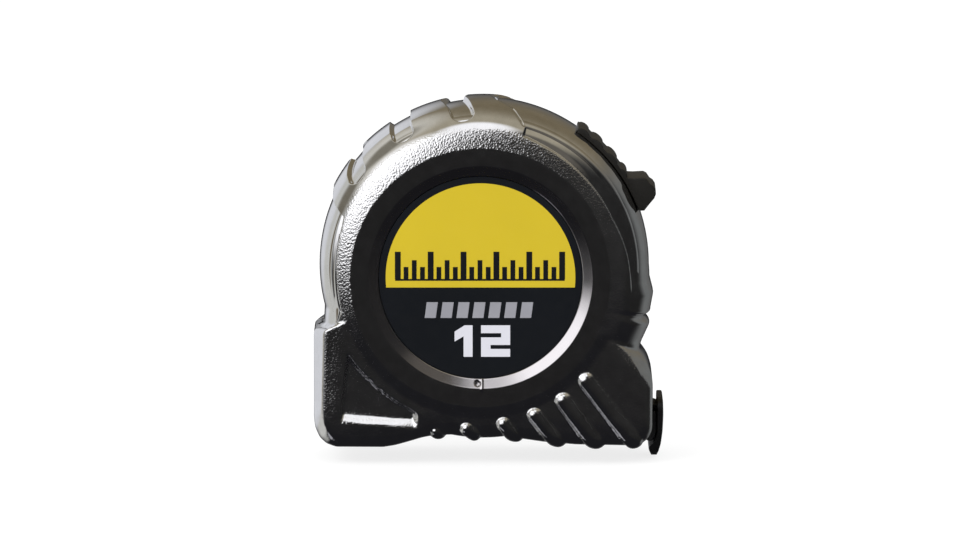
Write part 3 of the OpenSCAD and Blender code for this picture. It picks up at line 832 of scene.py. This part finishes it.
# --------------------------------------------------------------------- blade
def blade_strip():
    xs = np.concatenate([np.linspace(10, 22.5, 14), np.linspace(22.5, 24.5, 41)[1:], np.linspace(24.5, 32.1, 12)[1:]])
    ny = 13
    ys = np.linspace(-6.35, 6.35, ny)
    lo = -24.75 + 1.2 * (ys / 6.35) ** 2
    ring = np.concatenate([np.stack([ys, lo], 1), np.stack([ys[::-1], (lo + 0.2)[::-1]], 1)])
    k = len(ring)
    V, F = [], []
    for x in xs:
        V += [(x, p[0], p[1]) for p in ring]
    for i in range(len(xs) - 1):
        for q in range(k):
            F.append((i * k + q, i * k + (q + 1) % k, (i + 1) * k + (q + 1) % k, (i + 1) * k + q))
    # strip caps
    for base in (0, (len(xs) - 1) * k):
        for q in range(ny - 1):
            F.append((base + q, base + q + 1, base + k - 2 - q, base + k - 1 - q))
    me = bpy.data.meshes.new("blade_strip")
    me.from_pydata(W(V).tolist(), [], F)
    ob = bpy.data.objects.new("blade_strip", me)
    bpy.context.scene.collection.objects.link(ob)
    bm = bmesh.new()
    bm.from_mesh(me)
    bmesh.ops.recalc_face_normals(bm, faces=bm.faces)
    bm.to_mesh(me)
    bm.free()
    me.materials.append(M_BLADE)
    me.shade_smooth()
    me.set_sharp_from_angle(angle=math.radians(40))
    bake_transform(ob)
    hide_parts("blade_lead", "blade_out", "blade_end")
    return ob


blade = blade_strip()

# ------------------------------------------------------------ hook and bumper
def hook_plate():
    """Hook's plate: a tapering tongue, curved back at its foot, with a nail slot; its thickness follows the side profile."""
    zs = np.concatenate([np.linspace(-24.0, -24.9, 5), np.linspace(-25.4, -30.2, 9), np.linspace(-30.8, -34.6, 11), np.linspace(-34.9, -35.38, 3)])
    hw_ = np.interp(-zs, [24.0, 24.2, 24.7, 25.6, 30.8, 33.0, 34.6, 35.38], [4.9, 5.7, 6.9, 7.55, 7.55, 6.0, 3.9, 2.4])
    xo = np.interp(-zs, [24.0, 24.6, 27.0, 30.0, 32.6, 34.4, 35.38], [34.45, 34.62, 34.68, 34.55, 34.25, 33.85, 33.5])
    xi = np.interp(-zs, [24.0, 24.6, 27.0, 30.6, 31.8, 32.7, 33.4, 34.0, 34.6, 35.38], [33.50, 33.46, 33.45, 33.42, 33.1, 32.45, 31.9, 31.9, 32.1, 32.4])
    ny = 24
    V, F = [], []
    us = np.linspace(-1, 1, ny + 1)
    for z, h, a, b in zip(zs, hw_, xo, xi):
        for u in us:
            edge = 0.14 * smooth(0.90, 1.0, abs(u))
            V.append((a - edge, u * h, z))
        for u in us[::-1]:
            edge = 0.14 * smooth(0.90, 1.0, abs(u))
            V.append((b + edge, u * h, z))
    k = 2 * (ny + 1)
    for i in range(len(zs) - 1):
        for q in range(k):
            F.append((i * k + q, i * k + (q + 1) % k, (i + 1) * k + (q + 1) % k, (i + 1) * k + q))
    for base in (0, (len(zs) - 1) * k):
        for q in range(ny):
            F.append((base + q, base + q + 1, base + k - 2 - q, base + k - 1 - q))
    ob = make_obj("hook_plate_curved", V, F, M_HOOK, "hook", 40)
    b_ = bmesh.new()
    b_.from_mesh(ob.data)
    bmesh.ops.recalc_face_normals(b_, faces=b_.faces)
    b_.to_mesh(ob.data)
    b_.free()
    # nail slot
    sl = [(-0.6, -31.0), (-0.3, -31.3), (0.3, -31.3), (0.6, -31.0), (0.6, -28.9), (0.3, -28.6), (-0.3, -28.6), (-0.6, -28.9)]
    v = [(30.0, y, z) for y, z in sl] + [(37.0, y, z) for y, z in sl]
    n = len(sl)
    f = [tuple(range(n)), tuple(range(2 * n - 1, n - 1, -1))] + [(q, q + n, (q + 1) % n + n, (q + 1) % n) for q in range(n)]
    me_ = bpy.data.meshes.new("slot_tool")
    me_.from_pydata(W(v).tolist(), [], f)
    c = bpy.data.objects.new("slot_tool", me_)
    bpy.context.scene.collection.objects.link(c)
    b_ = bmesh.new()
    b_.from_mesh(me_)
    bmesh.ops.recalc_face_normals(b_, faces=b_.faces)
    b_.to_mesh(me_)
    b_.free()
    cut_with(ob, c)
    return ob


def cut_with(ob, tool):
    md = ob.modifiers.new("cut", "BOOLEAN")
    md.operation = "DIFFERENCE"
    md.object = tool
    md.solver = "MANIFOLD"
    dg = bpy.context.evaluated_depsgraph_get()
    me_ = bpy.data.meshes.new_from_object(ob.evaluated_get(dg))
    ob.modifiers.clear()
    old = ob.data
    ob.data = me_
    bpy.data.meshes.remove(old)
    bpy.data.objects.remove(tool)
    ob.data.shade_smooth()
    ob.data.set_sharp_from_angle(angle=math.radians(40))


hook = hook_plate()
tab_out = [(25.7, -25.62), (31.3, -25.62), (33.6, -26.3), (33.6, -25.7), (31.9, -25.15), (31.0, -24.88), (25.7, -24.88)]
tab = rolled_prism("hook_tab", tab_out, -4.55, 4.55, 0.18, M_HOOK, "hook")
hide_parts("end_hook")
bump_out = [(30.95, -27.45), (32.3, -27.45), (32.5, -26.75), (33.0, -26.55), (33.34, -26.7), (33.34, -30.6), (32.9, -31.75), (32.35, -32.25), (31.7, -32.2), (30.95, -31.6)]
bumper = rolled_prism("mouth_bumper_pad", bump_out, -5.95, 5.95, 0.3, M_RUBBER, "case")
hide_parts("mouth_bumper")

# ------------------------------------------------------------- case screws
def screw_set():
    """Domed heads with a cross recess, sunk in the far half's counterbores."""
    V, F = [], []
    n = 48
    for i, (x, z) in enumerate(SCREWS):
        yt = 12.6 if i < 2 else 11.5
        prof_ = [(0.9, yt), (1.35, yt - 0.05), (1.7, yt - 0.18), (1.93, yt - 0.38), (2.05, yt - 0.62), (2.05, 10.5), (1.95, 10.4), (1.3, 10.4), (1.3, 9.2), (0.8, 8.8)]
        k0 = len(V)
        for r, y in prof_:
            V += [(x + r * math.cos(2 * math.pi * q / n), y, z + r * math.sin(2 * math.pi * q / n)) for q in range(n)]
        for k in range(len(prof_) - 1):
            F += [(k0 + k * n + q, k0 + k * n + (q + 1) % n, k0 + (k + 1) * n + (q + 1) % n, k0 + (k + 1) * n + q) for q in range(n)]
        F += [tuple(k0 + q for q in range(n)), tuple(k0 + (len(prof_) - 1) * n + q for q in range(n))]
    ob = make_obj("case_screw_heads", V, F, M_STEEL, "case", 40)
    b_ = bmesh.new()
    b_.from_mesh(ob.data)
    bmesh.ops.recalc_face_normals(b_, faces=b_.faces)
    b_.to_mesh(ob.data)
    b_.free()
    tv, tf = [], []
    for i, (x, z) in enumerate(SCREWS):
        yt = 12.6 if i < 2 else 11.5
        a, w, t = 1.25, 0.27, math.radians((20, 65, 40, 10)[i])
        plus = [(a, -w), (a, w), (w, w), (w, a), (-w, a), (-w, w), (-a, w), (-a, -w), (-w, -w), (-w, -a), (w, -a), (w, -w)]
        pl = [(x + p * math.cos(t) - q * math.sin(t), z + p * math.sin(t) + q * math.cos(t)) for p, q in plus]
        v, f = extrude_y(pl, yt - 0.7, yt + 1.0)
        k = len(tv)
        tv += v
        tf += [tuple(j + k for j in q) for q in f]
    me_ = bpy.data.meshes.new("cross_tool")
    me_.from_pydata(W(tv).tolist(), [], tf)
    c = bpy.data.objects.new("cross_tool", me_)
    bpy.context.scene.collection.objects.link(c)
    b_ = bmesh.new()
    b_.from_mesh(me_)
    bmesh.ops.recalc_face_normals(b_, faces=b_.faces)
    b_.to_mesh(me_)
    b_.free()
    cut_with(ob, c)
    return ob


screws = screw_set()
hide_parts("case_screws")

# ------------------------------------------------------- finishes on CAD nodes
NODE_MATS = {
    "label_near": M_DARK, "label_far": M_DARK, "spindle": M_STEEL, "power_spring": M_SPRING, "reel_drum": M_REEL,
    "reel_cover": M_REEL, "reel_washer_near": M_WASHER, "reel_washer_far": M_WASHER, "blade_coil": M_BLADE,
    "end_hook": M_HOOK, "hook_rivets": M_STEEL, "lock_lever": M_BLACK, "brake_pad": M_PAD, "mouth_bumper": M_RUBBER,
    "blade_guide": M_GUIDE, "belt_clip": M_BRIGHT, "belt_clip_screw": M_STEEL,
}
for nm, mat in NODE_MATS.items():
    ob = NODES[nm]
    for i in range(max(1, len(ob.material_slots))):
        if i < len(ob.material_slots):
            ob.material_slots[i].material = mat
        else:
            ob.data.materials.append(mat)

# ----------------------------------------------------------- floor and light
bm = bmesh.new()
rings = [0.0, 0.05, 0.1, 0.2, 0.4, 0.8, 1.6, 3.0]
c0 = bm.verts.new((0, 0, 0))
prev = None
for r in rings[1:]:
    cur = [bm.verts.new((r * math.cos(2 * math.pi * k / 96), r * math.sin(2 * math.pi * k / 96), 0)) for k in range(96)]
    for k in range(96):
        if prev is None:
            bm.faces.new((c0, cur[k], cur[(k + 1) % 96]))
        else:
            bm.faces.new((prev[k], cur[k], cur[(k + 1) % 96], prev[(k + 1) % 96]))
    prev = cur
me = bpy.data.meshes.new("floor")
bm.to_mesh(me)
bm.free()
floor = bpy.data.objects.new("floor", me)
bpy.context.scene.collection.objects.link(floor)
floor.location = (0, 0, -0.0004)
m, nt, bs = new_mat("floor_paper")
co = objco(nt)
nz = noise(nt, co, 60.0, 3.0, 0.5)
cr = ramp(nt, nz.outputs["Fac"], [(0.3, (0.235, 0.235, 0.235)), (0.7, (0.25, 0.25, 0.25))])
link(nt, cr.outputs[0], bs.inputs["Base Color"])
bs.inputs["Emission Color"].default_value = (1, 1, 1, 1)
bs.inputs["Emission Strength"].default_value = 0.80
bs.inputs["Roughness"].default_value = 0.9
bs.inputs["Specular IOR Level"].default_value = 0.0
me.materials.append(m)
floor.visible_glossy = False

world = bpy.data.worlds.new("studio")
bpy.context.scene.world = world
world.use_nodes = True
nt = world.node_tree
nt.nodes.clear()
wo = nt.nodes.new("ShaderNodeOutputWorld")
bgd = nt.nodes.new("ShaderNodeBackground")
bgg = nt.nodes.new("ShaderNodeBackground")
mixs = nt.nodes.new("ShaderNodeMixShader")
lp = nt.nodes.new("ShaderNodeLightPath")
link(nt, lp.outputs["Is Glossy Ray"], mixs.inputs[0])
link(nt, bgd.outputs[0], mixs.inputs[1])
link(nt, bgg.outputs[0], mixs.inputs[2])
link(nt, mixs.outputs[0], wo.inputs[0])
bgd.inputs["Color"].default_value = (1.0, 1.0, 1.0, 1)
bgd.inputs["Strength"].default_value = 1.03
tc = node(nt, "ShaderNodeTexCoord")
nrm = node(nt, "ShaderNodeVectorMath", operation="NORMALIZE")
link(nt, tc.outputs["Generated"], nrm.inputs[0])


def lobe(col_in, direction, a_in, a_out, colour):
    """Blend a colour over directions within a_in (full) to a_out (none) degrees of a direction."""
    d = Vector(direction).normalized()
    dot = node(nt, "ShaderNodeVectorMath", operation="DOT_PRODUCT")
    link(nt, nrm.outputs[0], dot.inputs[0])
    dot.inputs[1].default_value = tuple(d)
    mr = node(nt, "ShaderNodeMapRange", interpolation_type="SMOOTHSTEP")
    mr.inputs["From Min"].default_value = math.cos(math.radians(a_out))
    mr.inputs["From Max"].default_value = math.cos(math.radians(a_in))
    link(nt, dot.outputs["Value"], mr.inputs["Value"])
    mx = node(nt, "ShaderNodeMix", data_type="RGBA")
    link(nt, mr.outputs["Result"], mx.inputs["Factor"])
    if isinstance(col_in, tuple):
        mx.inputs["A"].default_value = (*col_in, 1)
    else:
        link(nt, col_in, mx.inputs["A"])
    mx.inputs["B"].default_value = (*colour, 1)
    return mx.outputs["Result"]


env = lobe((0.12, 0.12, 0.12), (-0.1, 0.1, 1), 42, 68, (0.36, 0.325, 0.25))    # warm ceiling over dim walls
env = lobe(env, (0.35, 0.85, 0.9), 10, 50, (0.17, 0.14, 0.09))              # its far end
env = lobe(env, (-0.75, 0.2, 0.65), 10, 40, (0.62, 0.60, 0.55))             # paler towards the left
env = lobe(env, (0.85, 0.55, -0.1), 12, 42, (0.15, 0.155, 0.155))             # wall on the right, behind
env = lobe(env, (0.12, -1, -0.12), 46, 66, (0.0165, 0.0160, 0.0160))          # dark room in front
env = lobe(env, (1.0, -0.45, -0.1), 34, 58, (0.0165, 0.0162, 0.0162))
env = lobe(env, (0.0, -0.2, -1), 52, 76, (0.012, 0.012, 0.014))             # dark ground
env = lobe(env, (-0.93, 0.32, -0.08), 26, 50, (0.56, 0.56, 0.54))           # pale wall on the left
env = lobe(env, (-0.66, 0.10, 0.74), 8, 19, (0.21, 0.195, 0.16))            # brown cornice between wall and ceiling
env = lobe(env, (-0.93, 0.08, 0.36), 8, 19, (0.17, 0.155, 0.125))
env = lobe(env, (-0.985, 0.10, -0.02), 7, 17, (0.14, 0.115, 0.08))
env = lobe(env, (-0.47, 0.86, 0.15), 14, 28, (0.68, 0.69, 0.73))            # pale wall behind, on the left
env = lobe(env, (0.0, 1.0, -0.13), 6, 16, (0.02, 0.02, 0.022))              # dark line straight behind
env = lobe(env, (-0.58, -0.70, 0.44), 13, 35, (1.5, 1.5, 1.54))             # window high on the left
env = lobe(env, (-0.04, -0.56, 0.83), 8, 19, (1.05, 1.05, 1.08))              # lamp over the camera
env = lobe(env, (-0.60, -0.25, -0.75), 5, 12, (0.34, 0.34, 0.37))           # lit patch of ground on the left
env = lobe(env, (0.40, -0.70, 0.60), 5, 16, (0.12, 0.11, 0.095))            # lit ceiling edge on the right
link(nt, env, bgg.inputs["Color"])
bgg.inputs["Strength"].default_value = 1.0

# soft key from the upper left, for the printed faces and the black parts
key = bpy.data.lights.new("key", "AREA")
key.shape = "RECTANGLE"
key.size = 0.7
key.size_y = 0.5
key.energy = 6.0
ko = bpy.data.objects.new("key", key)
bpy.context.scene.collection.objects.link(ko)
ko.location = (-0.7, -0.75, 0.85)
ko.rotation_euler = (Vector((0, 0, 0.035)) - Vector(ko.location)).to_track_quat("-Z", "Y").to_euler()
ko.visible_glossy = False
ko.visible_camera = False

# -------------------------------------------------------------------- camera
cam = bpy.data.cameras.new("cam")
co_ = bpy.data.objects.new("cam", cam)
bpy.context.scene.collection.objects.link(co_)
el = math.radians(7.5)
dist = 2.0
px_mm = 5.30
back = Vector((0, -math.cos(el), math.sin(el)))
right = Vector((1, 0, 0))
up = back.cross(right)
if up.z < 0:
    up = -up
aim = L2W(0, -13.1, 0) + right * (8.5 / px_mm * MM) + up * (2.5 / px_mm * MM)
co_.location = aim + back * dist
co_.rotation_euler = (-back).to_track_quat("-Z", "Y").to_euler()
cam.sensor_width = 36.0
cam.lens = px_mm * (dist * 1000.0) / 978.0 * 36.0
cam.clip_start = 0.01
cam.clip_end = 20.0
bpy.context.scene.camera = co_
bpy.context.scene.view_settings.view_transform = "Standard"
